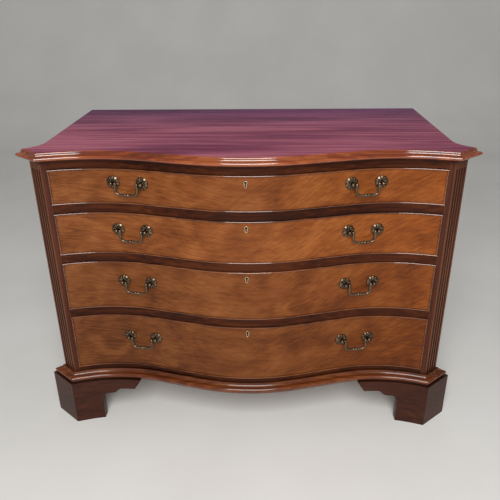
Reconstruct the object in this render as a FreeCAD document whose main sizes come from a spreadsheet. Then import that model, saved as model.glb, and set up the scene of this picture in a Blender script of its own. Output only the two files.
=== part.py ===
import FreeCAD, Part
import math
import operator
import os

import Sketcher
from BOPTools import SplitAPI
from FreeCAD import Placement, Rotation, Vector

# Serpentine chest of four drawers, in millimetres.
# +Z is up, the front faces -Y, and the origin is on the floor at the middle of the plan.
# Plan offsets are measured outwards from the drawer faces.

SIZES = {
    # Plan of the case
    "front_depth": 557,
    "bulge_radius": 510,
    "hollow_radius": 420,
    "swing_angle": 15,
    "end_angle": 17,
    "opening_width": 974,
    "stile_width": 12,
    "cant_width": 50,
    "cant_angle": 40,
    "flare_angle": 50,
    "flare_land": 4.5,
    "side_thickness": 18,
    # Heights, from the floor up
    "foot_height": 134,
    "bottom_rail_height": 38.5,
    "drawer_4_height": 168,
    "drawer_3_height": 141,
    "drawer_2_height": 116,
    "drawer_1_height": 93,
    "rail_thickness": 22.5,
    "top_rail_height": 26,
    # Edge of the top
    "lip_projection": 10.8,
    "lip_radius": 4.2,
    "lip_height": 5,
    "cove_radius": 5,
    "nose_radius": 5,
    "edge_overlap": 2,
    # Bed moulding under the top
    "bed_fillet": 2,
    "bed_cove_radius": 6,
    "bed_step": 1.5,
    # Base moulding
    "base_sill_projection": 16.2,
    "base_sill_height": 2,
    "base_nose_setback": 2.7,
    "base_nose_radius": 7.2,
    "base_step": 1,
    "base_cove_radius": 7.5,
    "base_fillet_height": 2,
    "glue_line": 0.05,
    # Bracket feet
    "foot_projection": 25,
    "foot_thickness": 22,
    "bracket_length": 188,
    "leg_width": 72,
    "leg_cove_height": 70,
    "leg_cove_radius": 18,
    "bracket_land": 12,
    "bracket_step_run": 14,
    "bracket_step_rise": 7,
    "bracket_tip_run": 20,
    "rear_bracket_length": 150,
    "rear_leg_width": 60,
    "foot_block_size": 44,
    "foot_block_lift": 2,
    # Fluted corner posts
    "flute_count": 4,
    "flute_radius": 3.6,
    "flute_pitch": 10.6,
    "flute_head": 4,
    # Case boards and rails
    "rail_depth": 60,
    "tenon_length": 8,
    "tenon_width": 34,
    "tenon_setback": 8,
    "tenon_shoulder": 5,
    "bottom_thickness": 16,
    "back_thickness": 10,
    "back_rebate": 8,
    "back_board_count": 3,
    "runner_width": 24,
    "dust_board_thickness": 6,
    "stop_length": 40,
    "stop_width": 14,
    "stop_height": 5,
    # Drawers
    "drawer_gap": 1,
    "runner_gap": 0.3,
    "drawer_front_thickness": 24,
    "stave_count": 15,
    "cockbead_thickness": 3.2,
    "cockbead_depth": 10,
    "cockbead_projection": 3,
    "cockbead_round": 1.3,
    "drawer_side_thickness": 11,
    "drawer_side_drop": 4,
    "drawer_shoulder": 25,
    "tail_length": 12,
    "tail_pitch": 36,
    "tail_width": 24,
    "tail_slope": 2.5,
    "drawer_rear_gap": 20,
    "drawer_back_thickness": 9,
    "drawer_back_drop": 18,
    "drawer_back_housing": 3,
    "drawer_bottom_thickness": 7,
    "drawer_bottom_lift": 9,
    "groove_depth": 5,
    "groove_clearance": 0.5,
    # Locks
    "lock_width": 50,
    "lock_height": 36,
    "lock_depth": 9,
    "lock_wall": 1.5,
    "bolt_width": 22,
    "bolt_height": 14,
    "bolt_clearance": 0.3,
    "bolt_travel": 8,
    "mortise_clearance": 1,
    "key_drop": 18,
    "key_head_radius": 3,
    "key_slot_radius": 1.5,
    "key_slot_length": 10,
    "escutcheon_wall": 1.8,
    "escutcheon_depth": 6,
    # Handles
    "handle_x": 293.5,
    "handle_spacing": 76.2,
    "handle_drop_1": 36,
    "handle_drop_2": 46.5,
    "handle_drop_3": 58,
    "handle_drop_4": 69,
    "pivot_height": 14,
    "post_radius": 2.5,
    "post_head_radius": 5,
    "post_tail": 2,
    "post_hole_clearance": 0.5,
    "pin_radius": 1.6,
    "pin_clearance": 0.05,
    "pin_engagement": 3.5,
    "pin_end_gap": 0.5,
    "nut_radius": 6.5,
    "nut_thickness": 4,
    "rosette_radius": 16.5,
    "rosette_rim": 1.4,
    "rosette_height": 4.6,
    "rosette_boss_radius": 6.5,
    "rosette_dome_radius": 14,
    "rosette_clearance": 0.6,
    "petal_count": 10,
    "petal_groove_radius": 1.3,
    "petal_notch_radius": 2.2,
    "bail_radius": 3.1,
    "bail_elbow_radius": 4.3,
    "bail_drop": 28,
    "bail_bend_radius": 12,
    "bail_clearance": 0.3,
    "bail_ring_radius": 4.3,
    "bail_ring_pitch": 7,
}

DRAWERS = (1, 2, 3, 4)
SIDES = {"left": -1, "right": 1}
SAME_PLACE = 1e-4
OPERATORS = {"+": operator.add, "-": operator.sub, "*": operator.mul, "/": operator.truediv}


class Size:
    """A number that keeps the sheet formula it comes from."""

    def __init__(self, number, formula):
        self.number = number
        self.formula = formula

    def __float__(self):
        return float(self.number)

    def __neg__(self):
        return Size(-self.number, f"(-{self.formula})")

    def __add__(self, other):
        return combine(self, "+", other)

    def __radd__(self, other):
        return combine(other, "+", self)

    def __sub__(self, other):
        return combine(self, "-", other)

    def __rsub__(self, other):
        return combine(other, "-", self)

    def __mul__(self, other):
        return combine(self, "*", other)

    def __rmul__(self, other):
        return combine(other, "*", self)

    def __truediv__(self, other):
        return combine(self, "/", other)


def as_size(value):
    return value if isinstance(value, Size) else Size(float(value), f"({float(value)!r})")


def combine(first, sign, second):
    first, second = as_size(first), as_size(second)
    number = OPERATORS[sign](first.number, second.number)
    return Size(number, f"({first.formula} {sign} {second.formula})")


def sin(angle):
    return Size(math.sin(math.radians(angle.number)), f"sin({angle.formula} * 1deg)")


def cos(angle):
    return Size(math.cos(math.radians(angle.number)), f"cos({angle.formula} * 1deg)")


def tan(angle):
    return sin(angle) / cos(angle)


def root(value):
    return Size(math.sqrt(value.number), f"sqrt({value.formula})")


class Dimensions:
    """The driving dimensions, each readable by its alias in the sheet."""

    def __init__(self, document):
        sheet = document.addObject("Spreadsheet::Sheet", "Dims")
        for row, (alias, value) in enumerate(SIZES.items(), start=1):
            sheet.set(f"A{row}", alias)
            sheet.set(f"B{row}", str(value))
            sheet.setAlias(f"B{row}", alias)
        document.recompute()
        for alias in SIZES:
            setattr(self, alias, Size(float(getattr(sheet, alias)), f"Dims.{alias}"))


os.makedirs("parts", exist_ok=True)
doc = FreeCAD.newDocument("SerpentineChest")
dim = Dimensions(doc)
nodes = []


# Heights of the case
case_low = dim.foot_height
top_thickness = dim.lip_height + dim.cove_radius + dim.nose_radius * 2
opening_low = {}
level = case_low + dim.bottom_rail_height
for number in reversed(DRAWERS):
    opening_low[number] = level
    level = level + getattr(dim, f"drawer_{number}_height") + dim.rail_thickness
case_high = level - dim.rail_thickness + dim.top_rail_height
base_height = (dim.base_sill_height + dim.base_nose_radius * 2 + dim.base_cove_radius
               + dim.base_fillet_height)
bed_height = dim.bed_cove_radius + dim.bed_step * 2

# Plan of the case: a convex bulge, a straight swing, a hollow, a stile, a cant, a flare and a straight side
nose_reach = dim.lip_projection + dim.cove_radius + dim.nose_radius
back_y = (dim.front_depth + nose_reach) / 2
face_y = back_y - dim.front_depth
bulge_y = face_y + dim.bulge_radius
half_open = dim.opening_width / 2
hollow_x = half_open - dim.hollow_radius * sin(dim.end_angle)
side_x = half_open + dim.side_thickness
back_inner_y = back_y - dim.back_thickness


def bulge_end(offset):
    """Where the bulge runs into the straight swing."""
    radius = dim.bulge_radius + offset
    return radius * sin(dim.swing_angle), bulge_y - radius * cos(dim.swing_angle)


def hollow_start_x(offset):
    return hollow_x - (dim.hollow_radius - offset) * sin(dim.swing_angle)


swing_end_y = bulge_end(0)[1] + (hollow_start_x(0) - bulge_end(0)[0]) * tan(dim.swing_angle)
hollow_y = swing_end_y - dim.hollow_radius * cos(dim.swing_angle)
hollow_face_y = hollow_y + dim.hollow_radius
rail_back_y = hollow_face_y + dim.rail_depth


def hollow_point(x, offset):
    """A point of the hollow at a distance x from the middle of the chest."""
    radius = dim.hollow_radius - offset
    reach = x - hollow_x
    return x, hollow_y + root(radius * radius - reach * reach)


stile_start = hollow_point(half_open, 0)
cant_front = (half_open + dim.stile_width, stile_start[1] - dim.stile_width * tan(dim.end_angle))
cant_rear = (cant_front[0] + dim.cant_width * cos(dim.cant_angle),
             cant_front[1] + dim.cant_width * sin(dim.cant_angle))
cant_middle = [(front + rear) / 2 for front, rear in zip(cant_front, cant_rear)]
flare_front = (cant_rear[0] - dim.flare_land * sin(dim.flare_angle),
               cant_rear[1] + dim.flare_land * cos(dim.flare_angle))
flare_radius = (flare_front[0] - side_x) / (1 - cos(dim.flare_angle))
flare_rear = (side_x, flare_front[1] + flare_radius * sin(dim.flare_angle))

# A chain is a list of (point, arc): each arc leads to its point and is (radius, turn),
# where turn is 1 with the centre on the left of the way and -1 with it on the right.


def reverse(chain):
    points = [point for point, arc in chain][::-1]
    arcs = [arc and (arc[0], -arc[1]) for point, arc in chain][:0:-1]
    return [(points[0], None)] + list(zip(points[1:], arcs))


def mirror(chain):
    return [((-x, y), arc and (arc[0], -arc[1])) for (x, y), arc in chain]


def straight(*points):
    return [(point, None) for point in points]


def front_curve(offset, half_width):
    """The serpentine line from left to right."""
    hollow = (dim.hollow_radius - offset, -1)
    bulge = (dim.bulge_radius + offset, 1)
    bulge_x, bulge_end_y = bulge_end(offset)
    start_x = hollow_start_x(offset)
    start_y = hollow_y + (dim.hollow_radius - offset) * cos(dim.swing_angle)
    end_x, end_y = hollow_point(half_width, offset)
    return [
        ((-end_x, end_y), None),
        ((-start_x, start_y), hollow),
        ((-bulge_x, bulge_end_y), None),
        ((bulge_x, bulge_end_y), bulge),
        ((start_x, start_y), None),
        ((end_x, end_y), hollow),
    ]


def serpentine_strip(outer, inner, half_width):
    """A closed strip of constant thickness along the front."""
    return front_curve(outer, half_width) + reverse(front_curve(inner, half_width))


def serpentine_shelf(offset, half_width, rear_y):
    """A closed outline with a serpentine front and a straight back."""
    return front_curve(offset, half_width) + straight((half_width, rear_y), (-half_width, rear_y))


def hollow_strip(sign, low_x, high_x, outer, inner):
    """A short closed strip in the outer part of the hollow."""
    strip = [
        (hollow_point(low_x, outer), None),
        (hollow_point(high_x, outer), (dim.hollow_radius - outer, -1)),
        (hollow_point(high_x, inner), None),
        (hollow_point(low_x, inner), (dim.hollow_radius - inner, 1)),
    ]
    return strip if sign > 0 else mirror(strip)


def corner_chain(rear_y):
    """The right corner of the case, from the end of the hollow to a point on the straight side."""
    return straight(stile_start, cant_front, cant_rear, flare_front) + [
        (flare_rear, (flare_radius, -1)),
        ((side_x, rear_y), None),
    ]


def case_path():
    """The whole outline of the case from the back left corner round the front to the back right."""
    right = corner_chain(back_y)
    return reverse(mirror(right))[:-1] + front_curve(0, half_open) + right[1:]


# Drawing and feature helpers

PLANE_NORMALS = {"XY_Plane": 1, "XZ_Plane": -1, "YZ_Plane": 1}


def vector(point):
    return Vector(float(point[0]), float(point[1]), 0)


def bind(thing, path, size):
    thing.setExpression(path, as_size(size).formula)


def arc_geometry(start, end, arc):
    """A circular arc of under a half turn and the positions of its two ends in the sketch."""
    radius, turn = float(arc[0]), arc[1]
    chord = end - start
    height = math.sqrt(max(radius ** 2 - (chord.Length / 2) ** 2, 0))
    normal = Vector(-chord.y, chord.x, 0).normalize()
    centre = (start + end) / 2 + normal * height * turn
    angles = [math.atan2(point.y - centre.y, point.x - centre.x) for point in (start, end)][::turn]
    circle = Part.Circle(centre, Vector(0, 0, 1), radius)
    return Part.ArcOfCircle(circle, *angles), (1, 2)[::turn]


def new_body(label):
    body = doc.addObject("PartDesign::Body", label)
    body.Label = label
    return body


def draw(body, name, chain, plane="XY_Plane", lift=0, closed=True):
    """A sketch of a chain, with every corner and radius bound to the sheet."""
    sketch = body.newObject("Sketcher::SketchObject", name)
    sketch.AttachmentSupport = [(next(f for f in body.Origin.OriginFeatures if f.Role == plane), "")]
    sketch.MapMode = "FlatFace"
    bind(sketch, "AttachmentOffset.Base.z", as_size(lift) * PLANE_NORMALS[plane])
    steps = list(zip(chain, chain[1:] + (chain[:1] if closed else [])))
    constraints = []
    formulas = []

    def fix(geometry, position, point):
        for kind, coordinate in zip(("DistanceX", "DistanceY"), point):
            constraints.append(Sketcher.Constraint(kind, geometry, position, float(coordinate)))
            formulas.append(as_size(coordinate).formula)

    ends = []
    for (start, _), (end, arc) in steps:
        if arc is None:
            curve, positions = Part.LineSegment(vector(start), vector(end)), (1, 2)
        else:
            curve, positions = arc_geometry(vector(start), vector(end), arc)
        geometry = sketch.addGeometry(curve, False)
        ends.append((geometry, positions))
        fix(geometry, positions[0], start)
        if arc is not None:
            constraints.append(Sketcher.Constraint("Radius", geometry, float(arc[0])))
            formulas.append(as_size(arc[0]).formula)
    joins = list(zip(ends, ends[1:] + (ends[:1] if closed else [])))
    if not closed:
        fix(ends[-1][0], ends[-1][1][1], chain[-1][0])
    for (geometry, positions), (next_geometry, next_positions) in joins:
        constraints.append(
            Sketcher.Constraint("Coincident", geometry, positions[1], next_geometry, next_positions[0]))
        formulas.append(None)
    sketch.addConstraint(constraints)
    for index, formula in enumerate(formulas):
        if formula is not None:
            sketch.setExpression(f"Constraints[{index}]", formula)
    return sketch


def pad(body, sketch, length):
    feature = body.newObject("PartDesign::Pad", sketch.Name + "_pad")
    feature.Profile = sketch
    bind(feature, "Length", length)
    body.Tip = feature
    return feature


def pocket(body, sketch, length):
    feature = body.newObject("PartDesign::Pocket", sketch.Name + "_pocket")
    feature.Profile = sketch
    bind(feature, "Length", length)
    body.Tip = feature
    return feature


def prism(label, chain, low, length, plane="XY_Plane"):
    body = new_body(label)
    pad(body, draw(body, label + "_outline", chain, plane, low), length)
    return body


def pipe(body, profile, path):
    feature = body.newObject("PartDesign::AdditivePipe", profile.Name + "_pipe")
    feature.Profile = profile
    feature.Spine = (path, [])
    feature.Transition = "Right corner"
    body.Tip = feature
    return feature


def place(thing, x=0, y=0, z=0):
    for axis, size in zip("xyz", (x, y, z)):
        bind(thing, f"Placement.Base.{axis}", size)
    return thing


def box(label, x, y, z):
    """A box between two values along each axis."""
    thing = doc.addObject("Part::Box", label)
    for side, (low, high) in zip(("Length", "Width", "Height"), (x, y, z)):
        bind(thing, side, high - low)
    return place(thing, x[0], y[0], z[0])


def cylinder(label, radius, length, rotation=Rotation()):
    thing = doc.addObject("Part::Cylinder", label)
    bind(thing, "Radius", radius)
    bind(thing, "Height", length)
    thing.Placement = Placement(Vector(), rotation)
    return thing


def sphere(label, radius):
    thing = doc.addObject("Part::Sphere", label)
    bind(thing, "Radius", radius)
    return thing


def group(label, members):
    thing = doc.addObject("Part::Compound", label)
    thing.Links = members
    return thing


def fuse(label, members):
    thing = doc.addObject("Part::MultiFuse", label)
    thing.Shapes = members
    return thing


def cut(label, base, tool):
    thing = doc.addObject("Part::Cut", label)
    thing.Base = base
    thing.Tool = tool
    return thing


def span(sign, low, high):
    """A pair of values on one side of the middle, lowest first."""
    return (low, high) if sign > 0 else (-high, -low)


def node(thing, label):
    thing.Label = label
    nodes.append(thing)
    return thing


def upright_face(middle, along, height):
    """An upright face on a plan line that runs both ways from its middle."""
    rise = Vector(0, 0, float(height))
    corners = [middle - along, middle + along, middle + along + rise, middle - along + rise, middle - along]
    return Part.Face(Part.makePolygon(corners))


def mitre_cuts():
    """Thin upright saw cuts through the four plan corners, on the lines that the mitres follow."""
    reach = float(dim.foot_projection) * 2
    height = float(case_high) + reach * 2
    cant = math.radians(float(dim.cant_angle))
    stile = math.radians(float(dim.end_angle))
    flare = math.radians(float(dim.flare_angle))
    stile_normal = Vector(-math.sin(stile), -math.cos(stile), 0)
    cant_normal = Vector(math.sin(cant), -math.cos(cant), 0)
    flare_normal = Vector(math.cos(flare), math.sin(flare), 0)
    mitres = ((cant_front, stile_normal + cant_normal), (cant_rear, cant_normal + flare_normal))
    cuts = []
    for corner, direction in mitres:
        mitre = direction.normalize() * reach
        for sign in SIDES.values():
            along = Vector(sign * mitre.x, mitre.y, 0)
            across = Vector(-along.y, along.x, 0).normalize() * float(dim.glue_line)
            middle = Vector(sign * float(corner[0]), float(corner[1]), -reach) - across / 2
            cuts.append(upright_face(middle, along, height).extrude(across))
    return Part.makeCompound(cuts)


def solid_node(label, shape):
    """A sub-part whose solids are cut from one blank."""
    thing = doc.addObject("Part::Feature", label)
    thing.Shape = shape
    return node(thing, label)


def mitred(label, blank):
    """The blank sawn into lengths at its mitres, with a glue line between them."""
    doc.recompute()
    return solid_node(label, blank.Shape.cut(mitre_cuts()))


def sliced(label, blank, faces):
    """The blank cut into separate solids by faces."""
    doc.recompute()
    return solid_node(label, SplitAPI.slice(blank.Shape, faces, "Split"))


# Top and mouldings

def edge_profile(points):
    """A moulding section at the back end of the left side, given as (offset, height, arc)."""
    return [((-(side_x + offset), height), arc and (arc[0], -arc[1])) for offset, height, arc in points]


def make_top_board():
    body = new_body("top_board")
    outline = draw(body, "top_outline", case_path(), lift=case_high)
    pad(body, outline, top_thickness)
    high = case_high + top_thickness
    lip = dim.lip_projection
    lip_low = high - dim.lip_height
    nose = lip + dim.cove_radius
    nose_mid = case_high + dim.nose_radius
    profile = edge_profile([
        (-dim.edge_overlap, case_high, None),
        (nose, case_high, None),
        (nose + dim.nose_radius, nose_mid, (dim.nose_radius, 1)),
        (nose, nose_mid + dim.nose_radius, (dim.nose_radius, 1)),
        (lip, lip_low, (dim.cove_radius, -1)),
        (lip, high - dim.lip_radius, None),
        (lip - dim.lip_radius, high, (dim.lip_radius, 1)),
        (-dim.edge_overlap, high, None),
    ])
    path = draw(body, "top_path", case_path(), lift=case_high, closed=False)
    pipe(body, draw(body, "top_edge", profile, "XZ_Plane", back_y), path)
    node(body, "top_board")


def make_moulding(label, points, low):
    blank = new_body(label + "_blank")
    profile = draw(blank, label + "_section", edge_profile(points), "XZ_Plane", back_y)
    pipe(blank, profile, draw(blank, label + "_path", case_path(), lift=low, closed=False))
    mitred(label, blank)


def make_bed_moulding():
    low = case_high - bed_height
    reach = dim.bed_fillet + dim.bed_cove_radius
    make_moulding("bed_moulding", [
        (dim.glue_line, low, None),
        (dim.bed_fillet, low, None),
        (dim.bed_fillet, low + dim.bed_step, None),
        (reach, low + dim.bed_step + dim.bed_cove_radius, (dim.bed_cove_radius, -1)),
        (reach, case_high, None),
        (dim.glue_line, case_high, None),
    ], low)


def make_base_moulding():
    sill = dim.base_sill_projection
    nose = sill - dim.base_nose_setback
    nose_low = case_low + dim.base_sill_height
    nose_mid = nose_low + dim.base_nose_radius
    nose_high = nose_mid + dim.base_nose_radius
    cove = nose - dim.base_step
    fillet = cove - dim.base_cove_radius
    high = case_low + base_height
    make_moulding("base_moulding", [
        (dim.glue_line, case_low, None),
        (sill, case_low, None),
        (sill, nose_low, None),
        (nose, nose_low, None),
        (nose + dim.base_nose_radius, nose_mid, (dim.base_nose_radius, 1)),
        (nose, nose_high, (dim.base_nose_radius, 1)),
        (cove, nose_high, None),
        (fillet, nose_high + dim.base_cove_radius, (dim.base_cove_radius, -1)),
        (fillet, high, None),
        (dim.glue_line, high, None),
    ], case_low)


# Case boards

def make_sides():
    for name, sign in SIDES.items():
        board = box(f"{name}_board", span(sign, half_open, side_x), (flare_rear[1], back_y),
                    (case_low, case_high))
        rebate = box(f"{name}_rebate", span(sign, half_open, half_open + dim.back_rebate),
                     (back_inner_y, back_y), (case_low, case_high))
        node(cut(f"{name}_side", board, rebate), f"{name}_side")


def make_back_boards():
    reach = half_open + dim.back_rebate
    board_height = (case_high - case_low) / dim.back_board_count
    boards = []
    for index in range(int(float(dim.back_board_count))):
        low = case_low + board_height * index
        boards.append(box(f"back_board_{index + 1}", (-reach, reach), (back_inner_y, back_y),
                          (low, low + board_height)))
    node(group("back_boards", boards), "back_boards")


def make_bottom_board():
    board = box("bottom", (-half_open, half_open), (rail_back_y, back_inner_y),
                (case_low, case_low + dim.bottom_thickness))
    node(board, "bottom_board")


def rail_levels():
    """The low and high edges of every rail, from the bottom rail up."""
    levels = {"bottom_rail": (case_low, opening_low[DRAWERS[-1]])}
    for number in reversed(DRAWERS[1:]):
        high = opening_low[number - 1]
        levels[f"rail_over_drawer_{number}"] = (high - dim.rail_thickness, high)
    levels["top_rail"] = (case_high - dim.top_rail_height, case_high)
    return levels


def tenon(label, sign, low, high):
    rear = rail_back_y - dim.tenon_setback
    return box(label, span(sign, half_open, half_open + dim.tenon_length), (rear - dim.tenon_width, rear),
               (low + dim.tenon_shoulder, high - dim.tenon_shoulder))


def bolt_y():
    """The front and rear faces of every lock bolt."""
    rear = face_y + dim.drawer_front_thickness - dim.lock_wall - dim.bolt_clearance
    return rear - (dim.lock_depth - (dim.lock_wall + dim.bolt_clearance) * 2), rear


def bolt_mortise(label, low):
    half = dim.bolt_width / 2 + dim.mortise_clearance
    front, rear = bolt_y()
    depth = dim.bolt_travel + dim.mortise_clearance
    return box(label, (-half, half), (front - dim.mortise_clearance, rear + dim.mortise_clearance),
               (low, low + depth))


def make_rails():
    drawer_rails = []
    for label, (low, high) in rail_levels().items():
        rail = prism(label + "_board", serpentine_shelf(0, half_open, rail_back_y), low, high - low)
        tenons = [tenon(f"{label}_{name}_tenon", sign, low, high) for name, sign in SIDES.items()]
        rail = fuse(label + "_tenoned", [rail] + tenons)
        if label != "bottom_rail":
            rail = cut(label + "_mortised", rail, bolt_mortise(label + "_mortise", low))
        if label.startswith("rail"):
            drawer_rails.append(rail)
        else:
            node(rail, label)
    node(group("drawer_rails", drawer_rails), "drawer_rails")


def make_pilasters():
    rear = flare_rear[1]
    outline = straight((half_open, rear), stile_start) + corner_chain(rear)[1:-1]
    count = int(float(dim.flute_count))
    flute_low = case_low + base_height
    flute_high = opening_low[1] + dim.drawer_1_height - dim.flute_head
    for name, sign in SIDES.items():
        label = f"{name}_pilaster"
        chain = outline if sign > 0 else mirror(outline)
        post = prism(label + "_post", chain, case_low, case_high - case_low)
        mortises = [tenon(f"{label}_{rail}_mortise", sign, *levels) for rail, levels in rail_levels().items()]
        flutes = []
        for index in range(count):
            along = dim.flute_pitch * (index - (count - 1) / 2)
            x = (cant_middle[0] + along * cos(dim.cant_angle)) * sign
            y = cant_middle[1] + along * sin(dim.cant_angle)
            channel = cylinder(f"{label}_flute_{index + 1}", dim.flute_radius, flute_high - flute_low)
            head = sphere(f"{label}_flute_head_{index + 1}", dim.flute_radius)
            flutes.append(fuse(f"{label}_stopped_flute_{index + 1}",
                               [place(channel, x, y, flute_low), place(head, x, y, flute_high)]))
        post = cut(label + "_fluted", post, group(label + "_flutes", flutes))
        node(cut(label, post, group(label + "_mortises", mortises)), label)


def make_runners():
    inner = half_open - dim.runner_width
    runners = []
    boards = []
    for number in DRAWERS:
        high = opening_low[number]
        lowest = number == DRAWERS[-1]
        low = case_low + dim.bottom_thickness if lowest else high - dim.rail_thickness
        for name, sign in SIDES.items():
            runners.append(box(f"{name}_runner_{number}", span(sign, inner, half_open),
                               (rail_back_y, back_inner_y), (low, high)))
        if not lowest:
            middle = high - dim.rail_thickness / 2
            boards.append(box(f"dust_board_{number}", (-inner, inner), (rail_back_y, back_inner_y),
                              (middle - dim.dust_board_thickness / 2, middle + dim.dust_board_thickness / 2)))
    for name, sign in SIDES.items():
        runners.append(box(f"{name}_kicker", span(sign, inner, half_open), (rail_back_y, back_inner_y),
                           (case_high - dim.top_rail_height, case_high)))
    node(group("drawer_runners", runners), "drawer_runners")
    node(group("dust_boards", boards), "dust_boards")


def make_stops():
    stops = []
    front = hollow_face_y + dim.drawer_front_thickness + dim.runner_gap
    for number in DRAWERS:
        low = opening_low[number]
        for name, sign in SIDES.items():
            middle = hollow_x * sign
            along = (middle - dim.stop_length / 2, middle + dim.stop_length / 2)
            stops.append(box(f"{name}_stop_{number}", along, (front, front + dim.stop_width),
                             (low, low + dim.stop_height)))
    node(group("drawer_stops", stops), "drawer_stops")


# Bracket feet

def bracket_curve(leg, tip, sign):
    """The shaped underside of a bracket, from the floor at its leg to its tip; sign is the way it runs."""
    cove = dim.leg_cove_height + dim.leg_cove_radius
    step = leg + (dim.leg_cove_radius + dim.bracket_land) * sign
    run, rise = dim.bracket_step_run, dim.bracket_step_rise
    step_radius = (run * run + rise * rise) / (rise * 2)
    return [
        ((leg, as_size(0)), None),
        ((leg, dim.leg_cove_height), None),
        ((leg + dim.leg_cove_radius * sign, cove), (dim.leg_cove_radius, -sign)),
        ((step, cove), None),
        ((step + run * sign, cove + rise), (step_radius, sign)),
        ((step + run * 2 * sign, cove + rise * 2), (step_radius, -sign)),
        ((tip - dim.bracket_tip_run * sign, cove + rise * 2), None),
        ((tip, dim.foot_height), None),
    ]


def foot_cut(body, name, plane, leg, tip, sign):
    """Cuts the space under a bracket right through the foot."""
    past = tip + dim.foot_thickness * sign
    chain = bracket_curve(leg, tip, sign) + straight((past, dim.foot_height), (past, as_size(0)))
    feature = pocket(body, draw(body, name, chain, plane), dim.front_depth + dim.opening_width)
    feature.Midplane = True


def make_front_foot(name, sign):
    label = f"front_{name}_foot"
    body = new_body(label + "_blank")
    side_end = cant_rear[1] + dim.bracket_length
    tip = cant_front[0] - dim.bracket_length
    leg = cant_front[0] - dim.leg_width
    chain = [(hollow_point(tip - dim.foot_thickness, 0), None),
             (stile_start, (dim.hollow_radius, -1))] + corner_chain(side_end + dim.foot_thickness)[1:]
    path = draw(body, label + "_path", chain if sign > 0 else mirror(chain), closed=False)
    inner = dim.foot_projection - dim.foot_thickness
    section = straight((side_x + inner, as_size(0)), (side_x + dim.foot_projection, as_size(0)),
                       (side_x + dim.foot_projection, dim.foot_height), (side_x + inner, dim.foot_height))
    profile = draw(body, label + "_section", section if sign > 0 else mirror(section),
                   "XZ_Plane", side_end + dim.foot_thickness)
    pipe(body, profile, path)
    foot_cut(body, label + "_front_cut", "XZ_Plane", leg * sign, tip * sign, -sign)
    foot_cut(body, label + "_side_cut", "YZ_Plane", cant_rear[1] + dim.leg_width, side_end, 1)
    mitred(label, body)


def make_rear_foot(name, sign):
    label = f"rear_{name}_foot"
    inner = side_x + dim.foot_projection - dim.foot_thickness
    outer = side_x + dim.foot_projection
    side_chain = bracket_curve(back_y - dim.rear_leg_width, back_y - dim.rear_bracket_length, -1)
    side_chain = side_chain + straight((back_y, dim.foot_height), (back_y, as_size(0)))
    side = prism(label + "_side", side_chain, span(sign, inner, outer)[0], dim.foot_thickness, "YZ_Plane")
    leg, tip = inner - dim.rear_leg_width, inner - dim.rear_bracket_length
    back_chain = bracket_curve(leg, tip, -1) + straight((inner, dim.foot_height), (inner, as_size(0)))
    back = prism(label + "_back", back_chain if sign > 0 else mirror(back_chain), back_y, dim.foot_thickness,
                 "XZ_Plane")
    node(group(label, [side, back]), label)


def make_foot_blocks():
    blocks = []
    size = dim.foot_block_size
    inner = dim.foot_projection - dim.foot_thickness
    rear = back_y - dim.foot_thickness
    height = (dim.foot_block_lift, dim.foot_height)
    for name, sign in SIDES.items():
        blocks.append(box(f"rear_{name}_block", span(sign, side_x + inner - size, side_x + inner),
                          (rear - size, rear), height))
        block = box(f"front_{name}_block", (as_size(0), size), (as_size(0), size), height)
        block.Placement = Placement(Vector(), Rotation(Vector(0, 0, 1), float(dim.cant_angle) * sign))
        x = cant_middle[0] * sign - size / 2 * cos(dim.cant_angle) + inner * sin(dim.cant_angle) * sign
        y = cant_middle[1] - size / 2 * sin(dim.cant_angle) * sign - inner * cos(dim.cant_angle)
        blocks.append(place(block, x, y, dim.foot_block_lift))
    node(group("foot_blocks", blocks), "foot_blocks")


# Drawers: front, sides, back, bottom and cockbead

front_half = half_open - dim.drawer_gap
front_rear_y = face_y + dim.drawer_front_thickness
shoulder_y = hollow_point(front_half, 0)[1] + dim.drawer_shoulder
drawer_rear_y = back_inner_y - dim.drawer_rear_gap


class Levels:
    """Heights of one drawer."""

    def __init__(self, number):
        self.height = getattr(dim, f"drawer_{number}_height")
        self.low = opening_low[number]
        self.front_low = self.low + dim.drawer_gap
        self.front_high = self.low + self.height - dim.drawer_gap
        self.side_low = self.low + dim.runner_gap
        self.side_high = self.front_high - dim.drawer_side_drop
        self.bottom_low = self.low + dim.drawer_bottom_lift
        self.bottom_high = self.bottom_low + dim.drawer_bottom_thickness
        self.key = self.low + self.height - dim.key_drop
        self.handle = self.low + self.height - getattr(dim, f"handle_drop_{number}")


def keyhole(wall, key):
    """A keyhole outline widened by a wall: a round head over a slot with a round foot."""
    head, slot = dim.key_head_radius + wall, dim.key_slot_radius + wall
    neck = key - root(head * head - slot * slot)
    foot = key - dim.key_slot_length
    middle = as_size(0)
    return [
        ((-slot, foot), (slot, -1)),
        ((-slot, neck), None),
        ((-head, key), (head, -1)),
        ((middle, key + head), (head, -1)),
        ((head, key), (head, -1)),
        ((slot, neck), (head, -1)),
        ((slot, foot), None),
        ((middle, foot - slot), (slot, -1)),
    ]


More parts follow.
